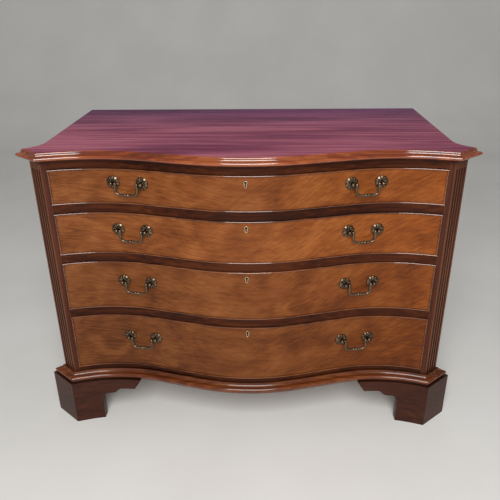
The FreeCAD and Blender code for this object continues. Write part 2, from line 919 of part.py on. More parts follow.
def make_front_blank(label, at):
    body = new_body(label + "_front_blank")
    thickness, bead = dim.drawer_front_thickness, dim.cockbead_thickness
    back = serpentine_strip(-dim.cockbead_depth, -thickness, front_half)
    pad(body, draw(body, label + "_front_back", back, lift=at.front_low), at.front_high - at.front_low)
    face = serpentine_strip(as_size(0), -thickness, front_half - bead)
    pad(body, draw(body, label + "_front_face", face, lift=at.front_low + bead),
        at.front_high - at.front_low - bead * 2)
    groove = serpentine_strip(dim.groove_depth - thickness, -dim.groove_depth - thickness, half_open)
    pocket(body, draw(body, label + "_groove", groove, lift=at.bottom_high), dim.drawer_bottom_thickness)
    start = face_y - dim.cockbead_projection
    seat = keyhole(dim.escutcheon_wall + dim.glue_line, at.key)
    pocket(body, draw(body, label + "_escutcheon_seat", seat, "XZ_Plane", start),
           dim.cockbead_projection + dim.escutcheon_depth)
    pocket(body, draw(body, label + "_keyhole", keyhole(as_size(0), at.key), "XZ_Plane", start),
           dim.cockbead_projection + thickness)
    return body


def stave_faces(at):
    """Upright faces at the joints of the staves that a drawer front is glued up from."""
    count = int(float(dim.stave_count))
    along = Vector(0, float(dim.front_depth), 0)
    faces = []
    for index in range(1, count):
        x = float(dim.opening_width) * (index / count - 1 / 2)
        faces.append(upright_face(Vector(x, 0, float(at.low)), along, at.height))
    return faces


def side_outline(at):
    """A drawer side seen from the side, with its row of dovetail tails at the front."""
    side_height = at.side_high - at.side_low
    count = int(float(side_height) / float(dim.tail_pitch))
    pitch = side_height / count
    tip, wide = shoulder_y - dim.tail_length, dim.tail_width / 2
    narrow = wide - dim.tail_slope
    points = [(drawer_rear_y, at.side_low), (drawer_rear_y, at.side_high), (shoulder_y, at.side_high)]
    for index in range(count):
        middle = at.side_high - pitch * (index + 0.5)
        points += [(shoulder_y, middle + narrow), (tip, middle + wide), (tip, middle - wide),
                   (shoulder_y, middle - narrow)]
    return straight(*points, (shoulder_y, at.side_low))


def make_box_boards(label, at):
    """The sides, back and bottom of a drawer; returns the plain sides that the front is socketed for."""
    thickness = dim.drawer_side_thickness
    inner = front_half - thickness
    boards = []
    for name, sign in SIDES.items():
        start = span(sign, inner, front_half)[0]
        boards.append(prism(f"{label}_{name}_side", side_outline(at), start, thickness, "YZ_Plane"))
    sides = group(label + "_plain_sides", boards)
    front_edge = dim.groove_depth - dim.drawer_front_thickness - dim.groove_clearance
    bottom = prism(label + "_bottom", serpentine_shelf(front_edge, inner + dim.groove_depth, drawer_rear_y),
                   at.bottom_low, dim.drawer_bottom_thickness)
    back_reach = inner + dim.drawer_back_housing
    back = box(label + "_back", (-back_reach, back_reach),
               (drawer_rear_y - dim.drawer_back_thickness, drawer_rear_y),
               (at.bottom_high, at.side_high - dim.drawer_back_drop))
    grooved = cut(label + "_grooved_sides", sides, bottom)
    node(cut(label + "_sides", grooved, back), label + "_sides")
    node(back, label + "_back")
    node(bottom, label + "_bottom")
    return sides


def bead_section(low):
    """The section of a level bead at the middle of the front, with faceted front corners."""
    outer, inner = face_y - dim.cockbead_projection, face_y + dim.cockbead_depth - dim.glue_line
    high, curve = low + dim.cockbead_thickness, dim.cockbead_round
    facet = curve * (1 - math.sqrt(0.5))
    return straight(
        (inner, low), (inner, high),
        (outer + curve, high), (outer + facet, high - facet), (outer, high - curve),
        (outer, low + curve), (outer + facet, low + facet), (outer + curve, low))


def make_level_bead(label, low):
    """A bead along the top or bottom of a drawer front, trimmed square to the drawer's width."""
    blank = new_body(label + "_blank")
    section = draw(blank, label + "_section", bead_section(low), "YZ_Plane")
    pipe(blank, section, draw(blank, label + "_path", front_curve(0, half_open), lift=low, closed=False))
    depth, thickness = dim.cockbead_depth, dim.cockbead_thickness
    limits = box(label + "_limits", (-front_half, front_half), (face_y - depth, hollow_face_y + depth * 2),
                 (low - thickness, low + thickness * 2))
    bead = doc.addObject("Part::Common", label)
    bead.Base = blank
    bead.Tool = limits
    return bead


def make_upright_bead(label, sign, low, height):
    """A bead along one end of a drawer front, with its two front corners rounded."""
    inner_x = front_half - dim.cockbead_thickness + dim.glue_line
    inner = dim.glue_line - dim.cockbead_depth
    chain = hollow_strip(sign, inner_x, front_half, dim.cockbead_projection, inner)
    body = prism(label, chain, low, height)
    doc.recompute()
    base = body.Tip
    corners = [vector(point) for point, arc in chain[:2]]

    def at_front(edge):
        ends = [Vector(vertex.X, vertex.Y, 0) for vertex in edge.Vertexes]
        return any(all(end.isEqual(corner, SAME_PLACE) for end in ends) for corner in corners)

    names = [f"Edge{index}" for index, edge in enumerate(base.Shape.Edges, start=1) if at_front(edge)]
    rounding = body.newObject("PartDesign::Fillet", label + "_rounding")
    rounding.Base = (base, names)
    bind(rounding, "Radius", dim.cockbead_round)
    body.Tip = rounding
    return body


def make_cockbead(label, at):
    thickness = dim.cockbead_thickness
    beads = [make_level_bead(label + "_low_bead", at.front_low),
             make_level_bead(label + "_high_bead", at.front_high - thickness)]
    for name, sign in SIDES.items():
        beads.append(make_upright_bead(f"{label}_{name}_bead", sign, at.front_low + thickness,
                                       at.front_high - at.front_low - thickness * 2))
    node(group(label + "_cockbead", beads), label + "_cockbead")


# Locks

def make_lock(label, at):
    """Lock case, escutcheon and bolt; returns the recess for the case."""
    half = dim.lock_width / 2
    front = front_rear_y - dim.lock_depth
    clearance = dim.bolt_clearance
    case_bottom = at.front_high - dim.lock_height
    case = box(label + "_lock_block", (-half, half), (front, front_rear_y), (case_bottom, at.front_high))
    bolt_front, bolt_rear = bolt_y()
    bolt_half = dim.bolt_width / 2
    cavity = box(label + "_lock_cavity", (-bolt_half - clearance, bolt_half + clearance),
                 (bolt_front - clearance, bolt_rear + clearance),
                 (case_bottom + dim.lock_wall, at.front_high + dim.drawer_gap))
    hollow = cut(label + "_lock_shell", case, cavity)
    key_way = prism(label + "_key_way", keyhole(as_size(0), at.key), bolt_front,
                    dim.drawer_front_thickness, "XZ_Plane")
    case = cut(label + "_lock_case", hollow, key_way)
    plate = prism(label + "_escutcheon_blank", keyhole(dim.escutcheon_wall, at.key),
                  face_y + dim.escutcheon_depth, dim.escutcheon_depth - dim.glue_line, "XZ_Plane")
    escutcheon = cut(label + "_escutcheon", plate, key_way)
    node(group(label + "_lock", [case, escutcheon]), label + "_lock")
    bolt = box(label + "_lock_bolt", (-bolt_half, bolt_half), (bolt_front, bolt_rear),
               (at.front_high - dim.bolt_height, at.front_high - clearance))
    node(bolt, label + "_lock_bolt")
    return box(label + "_lock_recess", (-half - clearance, half + clearance),
               (front, front_rear_y + dim.lock_depth),
               (case_bottom - clearance, at.front_high + dim.drawer_gap))


# Handles: every handle has a frame with X along its two posts, -Y outwards and Z up

hollow_centre = Vector(float(hollow_x), float(hollow_y), 0)


def hollow_turn(x):
    """The turn about Z that faces a fitting square to the hollow at a distance x from the middle."""
    return -math.degrees(math.asin((x - float(hollow_x)) / float(dim.hollow_radius)))


handle_turn = hollow_turn(float(dim.handle_x))
post_turn = math.degrees(math.asin(float(dim.handle_spacing) / 2 / float(dim.hollow_radius)))


def hollow_place(sign, turn, outward, z, facing):
    """A placement on the hollow, outward from its face, turned to face along its own angle."""
    angle = math.radians(turn)
    radius = float(dim.hollow_radius) - outward
    x = hollow_centre.x - radius * math.sin(angle)
    y = hollow_centre.y + radius * math.cos(angle)
    return Placement(Vector(sign * x, y, z), Rotation(Vector(0, 0, 1), sign * facing))


def post_places(sign, z):
    """Placements of the two posts of a handle, the second turned over to face its pin hole inwards."""
    flip = Placement(Vector(), Rotation(Vector(0, 1, 0), 180))
    outer = hollow_place(sign, handle_turn - post_turn, 0, z, handle_turn)
    inner = hollow_place(sign, handle_turn + post_turn, 0, z, handle_turn)
    return (outer, inner * flip) if sign > 0 else (outer * flip, inner)


def rosette_seat():
    """How far a rosette stands off so that its rim clears the hollow."""
    return dim.rosette_radius * dim.rosette_radius / dim.hollow_radius / 2 + dim.glue_line


def rosette_places(sign, z):
    turns = (handle_turn - post_turn, handle_turn + post_turn)
    return [hollow_place(sign, turn, float(rosette_seat()), z, turn) for turn in turns]


def pivot_place(sign, z):
    """The middle of a bail's hinge line."""
    chord_rise = float(dim.hollow_radius) * (1 - math.cos(math.radians(post_turn)))
    return hollow_place(sign, handle_turn, chord_rise + float(dim.pivot_height), z, handle_turn)


def make_rosette():
    """A domed rosette with a ring of petals, facing -Y."""
    body = new_body("rosette_blank")
    hole = dim.post_radius + dim.rosette_clearance
    rim, boss = dim.rosette_radius, dim.rosette_boss_radius
    section = straight((hole, as_size(0)), (rim, as_size(0)), (rim, -dim.rosette_rim)) + [
        ((boss, -dim.rosette_height), (dim.rosette_dome_radius, -1)),
        ((hole, -dim.rosette_height), None),
    ]
    sketch = draw(body, "rosette_section", section)
    turn = body.newObject("PartDesign::Revolution", "rosette_turning")
    turn.Profile = sketch
    turn.ReferenceAxis = (sketch, ["V_Axis"])
    body.Tip = turn
    slope = Vector(float(rim - boss), float(dim.rosette_height - dim.rosette_rim), 0)
    lift = float(dim.rosette_height + dim.petal_groove_radius / 2)
    grooves, notches = [], []
    count = int(float(dim.petal_count))
    for index in range(count):
        ray = Placement(Vector(), Rotation(Vector(0, 1, 0), 360 * index / count))
        groove = cylinder(f"petal_groove_{index + 1}", dim.petal_groove_radius, rim)
        groove.Placement = ray * Placement(Vector(float(boss), -lift, 0), Rotation(Vector(0, 0, 1), slope))
        notch = cylinder(f"petal_notch_{index + 1}", dim.petal_notch_radius, dim.rosette_height * 2)
        notch.Placement = ray * Placement(Vector(float(rim), float(dim.rosette_height), 0),
                                          Rotation(Vector(0, 0, 1), Vector(0, -1, 0)))
        grooves.append(groove)
        notches.append(notch)
    grooved = cut("rosette_grooved", body, group("petal_grooves", grooves))
    return cut("rosette", grooved, group("petal_notches", notches))


post_tilt = math.tan(math.radians(post_turn))


def nut_seat():
    """How far behind the face the nut lies, clear of the slanting back of the drawer front."""
    return dim.drawer_front_thickness + dim.nut_radius * post_tilt + dim.bolt_clearance


def collar_front():
    """How far in front of the face a post's collar ends, clear of the slanting rosette."""
    return dim.rosette_height + rosette_seat() + dim.post_head_radius * post_tilt + dim.glue_line


def make_post():
    """A post along Y with a ball head, a foot over the rosette and a pin hole on its -X side."""
    tail = nut_seat() + dim.nut_thickness + dim.post_tail
    along_y = Rotation(Vector(1, 0, 0), -90)
    stem = cylinder("post_stem", dim.post_radius, tail + dim.pivot_height, along_y)
    head = sphere("post_head", dim.post_head_radius)
    collar = doc.addObject("Part::Cone", "post_collar")
    bind(collar, "Radius1", dim.post_radius)
    bind(collar, "Radius2", dim.post_head_radius)
    bind(collar, "Height", dim.pivot_height - collar_front())
    collar.Placement = Placement(Vector(), along_y)
    for thing in (stem, head, collar):
        place(thing, y=-dim.pivot_height)
    depth = dim.pin_engagement + dim.pin_end_gap
    hole = cylinder("post_pin_hole", dim.pin_radius + dim.pin_clearance, depth + dim.post_head_radius,
                    Rotation(Vector(0, 1, 0), 90))
    place(hole, x=-dim.post_head_radius * 2, y=-dim.pivot_height)
    return cut("post", fuse("post_turning", [stem, head, collar]), hole)


def make_nut():
    """A hexagonal nut on the tail of a post."""
    blank = doc.addObject("Part::Prism", "nut_blank")
    bind(blank, "Circumradius", dim.nut_radius)
    bind(blank, "Height", dim.nut_thickness)
    along_y = Rotation(Vector(1, 0, 0), -90)
    hole = cylinder("nut_hole", dim.post_radius + dim.pin_clearance, dim.nut_thickness, along_y)
    blank.Placement = Placement(Vector(), along_y)
    return cut("nut", place(blank, y=nut_seat()), place(hole, y=nut_seat()))


def circle(x, y, radius):
    arc = (radius, 1)
    return [((x + radius, y), arc), ((x, y + radius), arc), ((x - radius, y), arc), ((x, y - radius), arc)]


def make_bail():
    """A bail that hangs from a hinge line along X, with a pin at each end."""
    reach = dim.handle_spacing / 2 - dim.post_head_radius - dim.bail_elbow_radius - dim.bail_clearance
    drop, bend = dim.bail_drop, dim.bail_bend_radius
    body = new_body("bail_wire")
    zero = as_size(0)
    path = [
        ((-reach, zero), None),
        ((-reach, bend - drop), None),
        ((bend - reach, -drop), (bend, 1)),
        ((reach - bend, -drop), None),
        ((reach, bend - drop), (bend, 1)),
        ((reach, zero), None),
    ]
    section = draw(body, "bail_section", circle(-reach, zero, dim.bail_radius))
    pipe(body, section, draw(body, "bail_path", path, "XZ_Plane", closed=False))
    pieces = [body]
    along_x = Rotation(Vector(0, 1, 0), 90)
    pin_tip = dim.handle_spacing / 2 - dim.post_head_radius + dim.pin_engagement
    for name, sign in SIDES.items():
        elbow = sphere(f"bail_{name}_elbow", dim.bail_elbow_radius)
        limb = doc.addObject("Part::Cone", f"bail_{name}_limb")
        bind(limb, "Radius1", dim.bail_elbow_radius)
        bind(limb, "Radius2", dim.bail_radius)
        bind(limb, "Height", drop - bend)
        limb.Placement = Placement(Vector(), Rotation(Vector(1, 0, 0), 180))
        pin = cylinder(f"bail_{name}_pin", dim.pin_radius, pin_tip - reach, along_x)
        ring = sphere(f"bail_{name}_ring", dim.bail_ring_radius)
        ring.Placement = Placement(Vector(), along_x)
        pieces += [place(elbow, x=reach * sign), place(limb, x=reach * sign),
                   place(pin, x=span(sign, reach, pin_tip)[0]),
                   place(ring, x=dim.bail_ring_pitch / 2 * sign, z=-drop)]
    return fuse("bail", pieces)


def assemble(label, pieces):
    """One object of copied shapes, each given as (shape, placement)."""
    thing = doc.addObject("Part::Feature", label)
    shapes = []
    for shape, where in pieces:
        copy = shape.copy()
        copy.Placement = where * copy.Placement
        shapes.append(copy)
    thing.Shape = Part.makeCompound(shapes)
    return thing


def post_holes(label, z):
    """Holes through a drawer front for its four posts."""
    start = Vector(0, -float(dim.pivot_height), 0)
    hole = Part.makeCylinder(float(dim.post_radius + dim.post_hole_clearance),
                             float(dim.pivot_height * 2 + nut_seat()), start, Vector(0, 1, 0))
    return assemble(label, [(hole, where) for sign in SIDES.values() for where in post_places(sign, z)])


def make_handles(label, at, fittings):
    rosette, post, nut, bail = fittings
    z = float(at.handle)
    pieces = []
    for sign in SIDES.values():
        pieces += [(rosette.Shape, where) for where in rosette_places(sign, z)]
        for where in post_places(sign, z):
            pieces += [(post.Shape, where), (nut.Shape, where)]
    node(assemble(label + "_handle_plates", pieces), label + "_handle_plates")
    for name, sign in SIDES.items():
        copy = doc.addObject("Part::Feature", f"{label}_{name}_bail")
        copy.Shape = bail.Shape.copy()
        copy.Placement = pivot_place(sign, z)
        node(copy, f"{label}_{name}_bail")


def make_drawer(number, fittings):
    label = f"drawer_{number}"
    at = Levels(number)
    blank = make_front_blank(label, at)
    plain_sides = make_box_boards(label, at)
    make_cockbead(label, at)
    recess = make_lock(label, at)
    make_handles(label, at, fittings)
    socketed = cut(label + "_front_socketed", blank, plain_sides)
    recessed = cut(label + "_front_recessed", socketed, recess)
    holes = post_holes(label + "_post_holes", float(at.handle))
    sliced(label + "_front", cut(label + "_front_drilled", recessed, holes), stave_faces(at))


make_top_board()
make_bed_moulding()
make_base_moulding()
make_sides()
make_back_boards()
make_bottom_board()
make_rails()
make_pilasters()
make_runners()
make_stops()
for side_name, side_sign in SIDES.items():
    make_front_foot(side_name, side_sign)
    make_rear_foot(side_name, side_sign)
make_foot_blocks()
handle_fittings = (make_rosette(), make_post(), make_nut(), make_bail())
doc.recompute()
for drawer_number in DRAWERS:
    make_drawer(drawer_number, handle_fittings)

doc.recompute()
for thing in doc.Objects:
    if "Invalid" in thing.State or "Error" in thing.State:
        raise RuntimeError(f"{thing.Label} failed: {thing.State}")
for thing in nodes:
    if thing.Shape.isNull() or not thing.Shape.isValid():
        raise RuntimeError(f"{thing.Label} has no valid shape")
for thing in nodes:
    thing.Shape.exportStep(f"parts/{thing.Label}.step")
    print(thing.Label, len(thing.Shape.Solids), "solids")
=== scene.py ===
# Serpentine chest of drawers: materials, light and camera.

import math
from typing import NamedTuple

import bpy
from mathutils import Matrix, Vector


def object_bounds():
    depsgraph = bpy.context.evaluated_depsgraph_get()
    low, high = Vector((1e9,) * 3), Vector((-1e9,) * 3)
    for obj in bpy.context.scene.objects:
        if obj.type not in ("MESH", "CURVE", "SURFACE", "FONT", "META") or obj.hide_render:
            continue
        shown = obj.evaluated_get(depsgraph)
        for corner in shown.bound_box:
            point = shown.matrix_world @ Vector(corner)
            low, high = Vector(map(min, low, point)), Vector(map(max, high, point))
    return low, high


class Finish(NamedTuple):
    """How a wood is finished, how it has aged, and the painted highlights and shade on it."""

    gloss: tuple  # the roughness from and to
    level: float  # the specular level
    coat: float  # the weight of the coat
    wear_and_glint: tuple = (0.05, 0.35)  # the share of wear and painted highlight on the edges, from and to
    wear_and_glint_paleness: float = 1.0  # how much paler the edges are painted than the lightest tone, for wear and painted highlight
    recess_shade: tuple = (0.25, 0.85)  # the openness where the painted shade is darkest, and where it ends


class Metal(NamedTuple):
    """How a cast metal looks."""

    tones: tuple  # in the recesses, on the body and on rubbed places
    gloss: tuple  # the roughness from and to
    spot: float  # the size of its clouds in metres


class Noise(NamedTuple):
    """A pattern of spots."""

    size: tuple  # of the spots along, across and through the material, in metres
    detail: float
    distortion: float = 0.0


def even_noise(size):
    """Spots as long as they are wide."""
    return Noise((size, size, size), detail=4.0)


# The photograph's camera, in metres and degrees, with its focal length in pixels of a square image.
CAMERA_PLACE = (0.0488, -1.5405, 1.1579)
CAMERA_YAW = 1.791
CAMERA_PITCH = 24.932
CAMERA_ROLL = -0.628
FOCAL_PIXELS = 565.9
IMAGE_PIXELS = 500
SENSOR_WIDTH = 36.0

SIDES = ("left", "right")
DRAWERS = (1, 2, 3, 4)

# Wood tones from dark to light, as linear red, green and blue.
# The top's tones hold a painted plum reflection over the mahogany.
TOP_TONES_WITH_REFLECTION = ((0.170, 0.024, 0.074), (0.340, 0.078, 0.140), (0.500, 0.150, 0.206))
EDGE_TONES = ((0.128, 0.021, 0.004), (0.232, 0.043, 0.008), (0.330, 0.080, 0.019))
DRAWER_TONES = ((0.108, 0.026, 0.004), (0.222, 0.061, 0.012), (0.340, 0.114, 0.029))
MOULDING_TONES = ((0.070, 0.014, 0.002), (0.130, 0.028, 0.005), (0.198, 0.052, 0.010))
# The rails and bed moulding are a darker copy of the moulding's mahogany, as painted shade.
SHADED_CASE_TONES = ((0.026, 0.005, 0.001), (0.050, 0.010, 0.002), (0.080, 0.018, 0.004))
# The uprights' tones are the mahogany lightened partly as painted sheen on the canted corners.
UPRIGHT_TONES_WITH_SHEEN = ((0.086, 0.023, 0.007), (0.128, 0.037, 0.012), (0.185, 0.062, 0.024))
FOOT_TONES = ((0.034, 0.009, 0.004), (0.050, 0.013, 0.006), (0.068, 0.019, 0.008))
BEAD_TONES = ((0.070, 0.016, 0.003), (0.150, 0.038, 0.008), (0.230, 0.070, 0.018))
OAK_TONES = ((0.200, 0.115, 0.050), (0.340, 0.215, 0.105), (0.430, 0.290, 0.155))
PINE_TONES = ((0.150, 0.080, 0.034), (0.270, 0.155, 0.068), (0.350, 0.215, 0.100))

# The painted reflection and shade on the top, from the front to the back: darkest and bluest at the back.
TOP_PAINTED_REFLECTION = ((0.82, 0.79, 0.80), (1.0, 0.97, 0.98), (0.32, 0.14, 0.66))

# How much darker and redder the stiles beside the drawers are painted than the canted corners, as painted
# shade, and how far outwards each of them faces.
STILE_SHADE = (0.46, 0.31, 0.23)
STILE_SHADE_RANGE = (0.10, 0.35)

# How dark each drawer's veneer is painted, from the top drawer down, with the lower two drawers darker as
# painted shade; and how it changes from left to right, darker on the left as painted shade and redder towards
# the right.
DRAWER_PAINTED_SHADES = (0.88, 0.97, 0.77, 0.67)
DRAWER_SHADE_AND_TINTS = ((0.88, 0.92, 0.98), (1.0, 1.0, 1.0), (1.06, 0.86, 0.34))

# Finishes of the wood, and the coat that they share.
GLAZED = Finish(gloss=(0.20, 0.30), level=0.02, coat=1.0, recess_shade=(0.50, 0.92))
RUBBED = Finish(gloss=(0.22, 0.32), level=0.18, coat=0.35, recess_shade=(0.50, 0.92))
BEADED = Finish(gloss=(0.24, 0.34), level=0.20, coat=0.70)
POLISHED = Finish(gloss=(0.28, 0.42), level=0.08, coat=0.05, recess_shade=(0.50, 0.97))
VENEERED = Finish(gloss=(0.28, 0.42), level=0.14, coat=0.05, wear_and_glint=None)
# The flutes' arrises are painted much paler than the wood: painted highlights, with some wear.
FLUTED = Finish(gloss=(0.28, 0.40), level=0.12, coat=0.10, wear_and_glint=(0.60, 0.90), wear_and_glint_paleness=2.2, recess_shade=(0.50, 0.95))
WAXED = Finish(gloss=(0.34, 0.50), level=0.16, coat=0.05)
BARE = Finish(gloss=(0.50, 0.70), level=0.30, coat=0.0)
COAT_ROUGHNESS = 0.09
COAT_IOR = 1.75

# Metals of the handles, the locks and their bolts.
OLD_BRASS = Metal(
    tones=((0.006, 0.004, 0.0022), (0.056, 0.037, 0.022), (0.220, 0.158, 0.104)),
    gloss=(0.26, 0.38),
    spot=0.006,
)
BRIGHT_BRASS = Metal(
    tones=((0.008, 0.005, 0.002), (0.400, 0.300, 0.165), (0.640, 0.520, 0.340)),
    gloss=(0.22, 0.36),
    spot=0.008,
)
STEEL = Metal(
    tones=((0.060, 0.056, 0.050), (0.300, 0.290, 0.275), (0.480, 0.470, 0.450)),
    gloss=(0.30, 0.45),
    spot=0.004,
)

# The floor and the light from all around.
FLOOR_TONES = ((0.800, 0.785, 0.750), (0.850, 0.835, 0.800))
FLOOR_SPOT = 0.5
FLOOR_GLOSS = (0.70, 0.85)
FLOOR_LEVEL = 0.2
WORLD_COLOUR = (0.860, 0.870, 0.880, 1.0)
WORLD_STRENGTH = 0.27

# The studio's floor curves up into a wall behind the chest.
FLOOR_HALF_WIDTH = 9.0
FLOOR_FRONT = -9.0
WALL_FOOT = 2.6
WALL_CURVE = 1.4
WALL_HIGH = 7.0
WALL_CURVE_STEPS = 24

# The key lamp is a tall panel above and behind the camera.
KEY_PLACE = (0.0, -2.6, 2.3)
KEY_TARGET = (0.0, -0.1, 0.45)
KEY_WIDTH = 1.6
KEY_HEIGHT = 2.2
KEY_WATTS = 98.0

# The wood's grain, and the figure of the drawer fronts: its slopes, the width over which they change,
# its share in the grain, and how far apart the fronts are cut from the same wood.
GRAIN_STREAK = Noise((0.300, 0.007, 0.007), detail=5.0, distortion=0.25)
GRAIN_BROAD = Noise((0.420, 0.075, 0.060), detail=2.0)
GRAIN_PORE = Noise((0.009, 0.0008, 0.0008), detail=1.0)
FIGURE_CLOUD = Noise((0.120, 0.100, 0.085), detail=2.0, distortion=1.2)
FIGURE_FEATHER = Noise((0.040, 0.012, 0.0026), detail=3.0, distortion=0.7)
FIGURE_LEFT_TURN = math.radians(9.0)
FIGURE_RIGHT_TURN = math.radians(-30.0)
FIGURE_BLEND = 0.15
FIGURE_SHARE = 0.7
FRONT_SHIFT = 1.7

# A face turned sideways by more than this has its grain from front to back, where the grain runs round.
SIDEWAYS = 0.8

# Shares in the mixtures of noises, and the stretches of them that count.
STREAK_SHARE = 0.55
CLOUD_SHARE = 0.5
TONE_RANGE = (0.40, 0.60)
FIGURE_RANGE = (0.37, 0.63)
NOISE_RANGE = (0.35, 0.65)
PORE_RANGE = (0.58, 0.72)
PORE_SHARE = 0.45
WOOD_BUMP = {"strength": 0.12, "distance": 0.0004}

# Rounded edges, the cosines of the turns that count as an edge, and painted shade in the corners and
# recesses.
BEVEL_RADIUS = 0.0014
BEVEL_SAMPLES = 4
OPENNESS_SAMPLES = 6
EDGE_RANGE = (0.90, 0.995)
SHADE_REACH = 0.014
SHADE_DARKEST = 0.25

# The flat face of the top, told by its slope and by its height below the very top.
FLAT_RANGE = (0.85, 0.985)
FLAT_DROP = 0.0006

# The cast metal's recesses, its cloudiness and the stretch of both over which its tones change.
METAL_REACH = 0.006
METAL_WEIGHTS = {"open": 0.8, "cloud": 0.5, "edge": 0.25}
METAL_RANGE = (0.66, 1.12)
METAL_BUMP = {"strength": 0.15, "distance": 0.0004}


class Tree:
    """A material's nodes. Its methods add a node and give its output."""

    def __init__(self, name):
        self.material = bpy.data.materials.new(name)
        self.material.use_nodes = True
        self.nodes = self.material.node_tree.nodes
        self.links = self.material.node_tree.links
        self.shader = self.nodes["Principled BSDF"]
        self.coords = self.nodes.new("ShaderNodeTexCoord").outputs["Object"]
        self.normal = self.nodes.new("ShaderNodeNewGeometry").outputs["Normal"]

    def fill(self, node, inputs):
        """Sets a node's inputs by their names, or links them where the value is a socket."""
        for name, value in inputs.items():
            socket = node.inputs[name]
            if isinstance(value, bpy.types.NodeSocket):
                self.links.new(value, socket)
            else:
                socket.default_value = value
        return node

    def shade(self, **inputs):
        """Sets or links the shader's own inputs, and gives the material."""
        self.fill(self.shader, {name.replace("_", " "): value for name, value in inputs.items()})
        return self.material

    def maths(self, operation, *values):
        """The result of an operation on numbers."""
        node = self.nodes.new("ShaderNodeMath")
        node.operation = operation
        return self.fill(node, dict(enumerate(values))).outputs["Value"]

    def stretch(self, value, low, high, new_low=0.0, new_high=1.0):
        """A value spread from one range to another, and held inside it."""
        inputs = {"Value": value, "From Min": low, "From Max": high, "To Min": new_low, "To Max": new_high}
        return self.fill(self.nodes.new("ShaderNodeMapRange"), inputs).outputs["Result"]

    def noise(self, coords, kind, turn=0.0):
        """A noise, turned about the second axis."""
        mapping = self.nodes.new("ShaderNodeMapping")
        mapping.vector_type = "TEXTURE"
        self.fill(mapping, {"Vector": coords, "Rotation": (0.0, turn, 0.0), "Scale": kind.size})
        inputs = {"Vector": mapping.outputs["Vector"], "Scale": 1.0}
        inputs.update({"Detail": kind.detail, "Distortion": kind.distortion})
        return self.fill(self.nodes.new("ShaderNodeTexNoise"), inputs).outputs["Fac"]

    def weigh(self, *pairs):
        """The sum of values, each times its weight."""
        total = 0.0
        for value, weight in pairs:
            total = self.maths("MULTIPLY_ADD", value, weight, total)
        return total

    def ramp(self, value, tones, low, high):
        """Tones spread evenly over a range of the value."""
        node = self.nodes.new("ShaderNodeValToRGB")
        stops = node.color_ramp.elements
        while len(stops) < len(tones):
            stops.new(1.0)
        for index, tone in enumerate(tones):
            stops[index].position = index / (len(tones) - 1)
            stops[index].color = (*tone, 1.0)
        return self.fill(node, {"Fac": self.stretch(value, low, high)}).outputs["Color"]

    def mix(self, share, first, second, blend="MIX"):
        """Two colours, or two vectors, mixed by a share."""
        node = self.nodes.new("ShaderNodeMix")
        node.data_type = "RGBA"
        node.blend_type = blend
        sockets = [socket for socket in node.inputs if socket.type == "RGBA"]
        for socket, value in zip(sockets, (first, second)):
            if isinstance(value, bpy.types.NodeSocket):
                self.links.new(value, socket)
            else:
                socket.default_value = (*value, 1.0)
        self.fill(node, {"Factor": share})
        return next(socket for socket in node.outputs if socket.type == "RGBA")

    def split(self, vector):
        """The three parts of a vector."""
        return self.fill(self.nodes.new("ShaderNodeSeparateXYZ"), {"Vector": vector}).outputs

    def join(self, x, y, z):
        """A vector of three parts."""
        node = self.nodes.new("ShaderNodeCombineXYZ")
        return self.fill(node, {"X": x, "Y": y, "Z": z}).outputs["Vector"]

    def soft_normal(self):
        """The normal as if the sharp edges were slightly rounded."""
        node = self.nodes.new("ShaderNodeBevel")
        node.samples = BEVEL_SAMPLES
        return self.fill(node, {"Radius": BEVEL_RADIUS}).outputs["Normal"]

    def edges(self, soft):
        """One on the edges, where the softened normal leaves the true one, and nought elsewhere."""
        node = self.nodes.new("ShaderNodeVectorMath")
        node.operation = "DOT_PRODUCT"
        self.fill(node, {0: soft, 1: self.normal})
        return self.stretch(node.outputs["Value"], *EDGE_RANGE, 1.0, 0.0)

    def openness(self, reach):
        """One in the open and less in recesses."""
        node = self.nodes.new("ShaderNodeAmbientOcclusion")
        node.samples = OPENNESS_SAMPLES
        return self.fill(node, {"Distance": reach}).outputs["AO"]

    def bump(self, height, normal, strength, distance):
        """The normal of a slightly uneven surface."""
        node = self.nodes.new("ShaderNodeBump")
        inputs = {"Height": height, "Normal": normal, "Strength": strength, "Distance": distance}
        return self.fill(node, inputs).outputs["Normal"]


def grain_coords(tree, grain, shift):
    """Coordinates with the grain along the first axis; "run" follows a moulding round its corners."""
    x, y, z = (tree.maths("ADD", socket, shift) for socket in tree.split(tree.coords))
    if grain == "X":
        return tree.join(x, y, z)
    if grain == "Y":
        return tree.join(y, x, z)
    if grain == "Z":
        return tree.join(z, y, x)
    sideways = tree.maths("GREATER_THAN", tree.maths("ABSOLUTE", tree.split(tree.normal)["X"]), SIDEWAYS)
    return tree.mix(sideways, tree.join(x, y, z), tree.join(y, x, z))


def feathers(tree, coords):
    """Fine figure that rises from the middle of the front towards both of its ends."""
    side = tree.stretch(tree.split(tree.coords)["X"], -FIGURE_BLEND, FIGURE_BLEND)
    left = tree.noise(coords, FIGURE_FEATHER, turn=FIGURE_LEFT_TURN)
    right = tree.noise(coords, FIGURE_FEATHER, turn=FIGURE_RIGHT_TURN)
    return tree.weigh((right, side), (left, tree.maths("SUBTRACT", 1.0, side)))


def grain_value(tree, streak, broad, coords, figured):
    """How light the wood is from place to place: plain grain, or mostly figure."""
    plain = tree.weigh((streak, STREAK_SHARE), (broad, 1.0 - STREAK_SHARE))
    if not figured:
        return plain
    cloud = tree.noise(coords, FIGURE_CLOUD, turn=FIGURE_RIGHT_TURN)
    figure = tree.weigh((cloud, CLOUD_SHARE), (feathers(tree, coords), 1.0 - CLOUD_SHARE))
    return tree.weigh((plain, 1.0 - FIGURE_SHARE), (figure, FIGURE_SHARE))


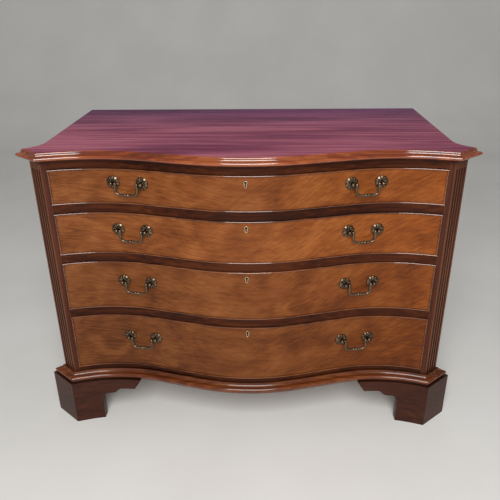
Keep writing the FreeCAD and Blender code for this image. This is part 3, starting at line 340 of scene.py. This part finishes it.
def wood(name, tones, finish, grain="X", shift=0.0, figured=False, tint=None):
    """Wood of a finish. A tint changes the colour, in some woods with painted light and shade, given the
    tree, the grain's value and the colour.
    """
    tree = Tree(name)
    coords = grain_coords(tree, grain, shift)
    streak = tree.noise(coords, GRAIN_STREAK)
    broad = tree.noise(coords, GRAIN_BROAD)
    pores = tree.stretch(tree.noise(coords, GRAIN_PORE), *PORE_RANGE)
    value = grain_value(tree, streak, broad, coords, figured)
    colour = tree.ramp(value, tones, *(FIGURE_RANGE if figured else TONE_RANGE))
    tree.shade(Specular_IOR_Level=finish.level, Coat_Weight=finish.coat)
    if tint:
        colour = tint(tree, value, colour)
    normal = tree.normal
    # Edges are painted paler: wear, and on the flutes mostly painted highlights.
    if finish.wear_and_glint:
        normal = tree.soft_normal()
        wear_and_glint = tree.maths("MULTIPLY", tree.edges(normal), tree.stretch(broad, *NOISE_RANGE, *finish.wear_and_glint))
        colour = tree.mix(wear_and_glint, colour, [finish.wear_and_glint_paleness * part for part in tones[-1]])
    colour = tree.mix(tree.maths("MULTIPLY", pores, PORE_SHARE), colour, tones[0])
    # Painted shade: the colour is darkened in corners and recesses by how open they are.
    recess_shade = tree.stretch(tree.openness(SHADE_REACH), *finish.recess_shade, SHADE_DARKEST, 1.0)
    colour = tree.mix(1.0, colour, tree.join(recess_shade, recess_shade, recess_shade), "MULTIPLY")
    height = tree.maths("SUBTRACT", streak, pores)
    return tree.shade(
        Base_Color=colour,
        Roughness=tree.stretch(streak, *NOISE_RANGE, *finish.gloss),
        Coat_Roughness=COAT_ROUGHNESS,
        Coat_IOR=COAT_IOR,
        Normal=tree.bump(height, normal, **WOOD_BUMP),
    )


def top_reflection_tint(tree, value, colour):
    """The flat upper face is painted plum, a painted reflection of a blue surrounding over the red-brown
    wood, darker and bluer to the back as painted shade and reflection; it is uncoated, and the moulded edge
    stays red-brown.
    """
    low, high = cad_box
    place = tree.split(tree.coords)
    level = tree.stretch(place["Z"], high[2] - FLAT_DROP, high[2])
    flat = tree.maths("MULTIPLY", level, tree.stretch(tree.split(tree.normal)["Z"], *FLAT_RANGE))
    tree.shade(Coat_Weight=tree.stretch(flat, 0.0, 1.0, GLAZED.coat, 0.0))
    depth = tree.stretch(place["Y"], low[1], high[1])
    plum = tree.ramp(value, TOP_TONES_WITH_REFLECTION, *TONE_RANGE)
    plum = tree.mix(1.0, plum, tree.ramp(depth, TOP_PAINTED_REFLECTION, 0.0, 1.0), "MULTIPLY")
    return tree.mix(flat, colour, plum)


def upright_sheen_and_shade(tree, value, colour):
    """The stiles, which turn inwards, are painted darker and redder than the canted corners, as painted
    shade; the corners keep the lighter tones that hold their painted sheen.
    """
    side = tree.maths("SIGN", tree.split(tree.coords)["X"])
    outwards = tree.maths("MULTIPLY", tree.split(tree.normal)["X"], side)
    stile = tree.mix(1.0, colour, STILE_SHADE, "MULTIPLY")
    return tree.mix(tree.stretch(outwards, *STILE_SHADE_RANGE), stile, colour)


def front_shade_and_tint(tree, value, colour):
    """The drawer fronts are darker on the left as painted shade, and redden towards the right."""
    low, high = cad_box
    across = tree.stretch(tree.split(tree.coords)["X"], low[0], high[0])
    return tree.mix(1.0, colour, tree.ramp(across, DRAWER_SHADE_AND_TINTS, 0.0, 1.0), "MULTIPLY")


def metal(name, kind):
    """Cast metal, dark in its recesses and rubbed bright on its high places."""
    tree = Tree(name)
    cloud = tree.noise(tree.coords, even_noise(kind.spot))
    soft = tree.soft_normal()
    parts = {"open": tree.openness(METAL_REACH), "cloud": cloud, "edge": tree.edges(soft)}
    height = tree.weigh(*[(parts[key], weight) for key, weight in METAL_WEIGHTS.items()])
    return tree.shade(
        Base_Color=tree.ramp(height, kind.tones, *METAL_RANGE),
        Metallic=1.0,
        Roughness=tree.stretch(cloud, *NOISE_RANGE, *kind.gloss),
        Normal=tree.bump(cloud, soft, **METAL_BUMP),
    )


def paint(material, *names):
    """Gives a material to nodes of the frame."""
    for name in names:
        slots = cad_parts[name].data.materials
        slots.clear()
        slots.append(material)


def of_drawers(*pieces):
    """The names of these pieces in every drawer."""
    return [f"drawer_{number}_{piece}" for number in DRAWERS for piece in pieces]


def paint_top():
    paint(wood("mahogany_top", EDGE_TONES, GLAZED, "run", tint=top_reflection_tint), "top_board")


def paint_mouldings():
    paint(wood("mahogany_base", MOULDING_TONES, RUBBED, "run"), "base_moulding")
    paint(wood("mahogany_bed", SHADED_CASE_TONES, POLISHED, "run"), "bed_moulding")


def paint_rails():
    # The rails are darkened as painted shade.
    paint(wood("mahogany_rail", SHADED_CASE_TONES, POLISHED), "top_rail", "drawer_rails", "bottom_rail")


def paint_uprights():
    uprights = [f"{side}_{name}" for side in SIDES for name in ("side", "pilaster")]
    paint(wood("mahogany_upright", UPRIGHT_TONES_WITH_SHEEN, FLUTED, "Z", tint=upright_sheen_and_shade), *uprights)


def paint_feet():
    feet = [f"{end}_{side}_foot" for end in ("front", "rear") for side in SIDES]
    paint(wood("mahogany_foot", FOOT_TONES, WAXED, "run"), *feet)


def paint_carcase():
    paint(wood("pine_carcase", PINE_TONES, BARE), "back_boards", "bottom_board", "dust_boards", "foot_blocks")
    paint(wood("oak_runner", OAK_TONES, BARE, "Y"), "drawer_runners", "drawer_stops")


def paint_fronts():
    for number, shade in zip(DRAWERS, DRAWER_PAINTED_SHADES):
        name = f"drawer_{number}_front"
        tones = [[shade * part for part in tone] for tone in DRAWER_TONES]
        shift = FRONT_SHIFT * number
        paint(wood(f"mahogany_{name}", tones, VENEERED, shift=shift, figured=True, tint=front_shade_and_tint), name)


def paint_beads():
    paint(wood("mahogany_bead", BEAD_TONES, BEADED), *of_drawers("cockbead"))


def paint_linings():
    paint(wood("oak_lining", OAK_TONES, BARE), *of_drawers("back", "bottom"))
    paint(wood("oak_lining_long", OAK_TONES, BARE, "Y"), *of_drawers("sides"))


def paint_fittings():
    paint(metal("handle_brass", OLD_BRASS), *of_drawers("handle_plates", "left_bail", "right_bail"))
    paint(metal("lock_brass", BRIGHT_BRASS), *of_drawers("lock"))
    paint(metal("bolt_steel", STEEL), *of_drawers("lock_bolt"))


def floor_paint():
    """Pale and dull, with faint clouds."""
    tree = Tree("floor")
    cloud = tree.noise(tree.coords, even_noise(FLOOR_SPOT))
    return tree.shade(
        Base_Color=tree.ramp(cloud, FLOOR_TONES, *NOISE_RANGE),
        Roughness=tree.stretch(cloud, *NOISE_RANGE, *FLOOR_GLOSS),
        Specular_IOR_Level=FLOOR_LEVEL,
    )


def studio_profile():
    """The floor from front to back, the curve and the wall, as (y, z) points."""
    points = [(FLOOR_FRONT, 0.0)]
    for step in range(WALL_CURVE_STEPS + 1):
        angle = math.pi / 2 * step / WALL_CURVE_STEPS
        points.append((WALL_FOOT + WALL_CURVE * math.sin(angle), WALL_CURVE * (1.0 - math.cos(angle))))
    return points + [(WALL_FOOT + WALL_CURVE, WALL_HIGH)]


def lay_floor():
    profile = studio_profile()
    mesh = bpy.data.meshes.new("floor")
    points = [(x, y, z) for y, z in profile for x in (-FLOOR_HALF_WIDTH, FLOOR_HALF_WIDTH)]
    rows = range(len(profile) - 1)
    mesh.from_pydata(points, [], [(2 * row, 2 * row + 1, 2 * row + 3, 2 * row + 2) for row in rows])
    mesh.shade_smooth()
    mesh.materials.append(floor_paint())
    floor = bpy.data.objects.new("floor", mesh)
    bpy.context.scene.collection.objects.link(floor)


def light_world():
    world = bpy.data.worlds.new("studio")
    world.use_nodes = True
    background = world.node_tree.nodes["Background"]
    background.inputs["Color"].default_value = WORLD_COLOUR
    background.inputs["Strength"].default_value = WORLD_STRENGTH
    bpy.context.scene.world = world


def hang_lamp():
    lamp = bpy.data.lights.new("key", "AREA")
    lamp.shape = "RECTANGLE"
    lamp.size = KEY_WIDTH
    lamp.size_y = KEY_HEIGHT
    lamp.energy = KEY_WATTS
    holder = bpy.data.objects.new("key", lamp)
    holder.location = KEY_PLACE
    holder.rotation_euler = (Vector(KEY_TARGET) - Vector(KEY_PLACE)).to_track_quat("-Z", "Y").to_euler()
    bpy.context.scene.collection.objects.link(holder)


def place_camera():
    camera = bpy.data.cameras.new("camera")
    camera.sensor_width = SENSOR_WIDTH
    camera.lens = FOCAL_PIXELS / IMAGE_PIXELS * SENSOR_WIDTH
    holder = bpy.data.objects.new("camera", camera)
    turn = Matrix.Rotation(math.radians(CAMERA_YAW), 4, "Z")
    tilt = Matrix.Rotation(math.radians(90.0 - CAMERA_PITCH), 4, "X")
    roll = Matrix.Rotation(math.radians(CAMERA_ROLL), 4, "Z")
    holder.matrix_world = Matrix.Translation(CAMERA_PLACE) @ turn @ tilt @ roll
    bpy.context.scene.collection.objects.link(holder)
    bpy.context.scene.camera = holder


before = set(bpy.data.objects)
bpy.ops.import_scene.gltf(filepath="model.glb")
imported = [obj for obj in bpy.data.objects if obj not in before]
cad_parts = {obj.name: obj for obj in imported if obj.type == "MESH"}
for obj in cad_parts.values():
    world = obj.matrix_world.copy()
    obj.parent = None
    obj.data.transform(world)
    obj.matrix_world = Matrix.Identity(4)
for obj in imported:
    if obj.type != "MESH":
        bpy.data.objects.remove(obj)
cad_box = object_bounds()
paint_top()
paint_mouldings()
paint_rails()
paint_uprights()
paint_feet()
paint_carcase()
paint_fronts()
paint_beads()
paint_linings()
paint_fittings()
lay_floor()
light_world()
hang_lamp()
place_camera()
bpy.context.scene.view_settings.view_transform = "Standard"
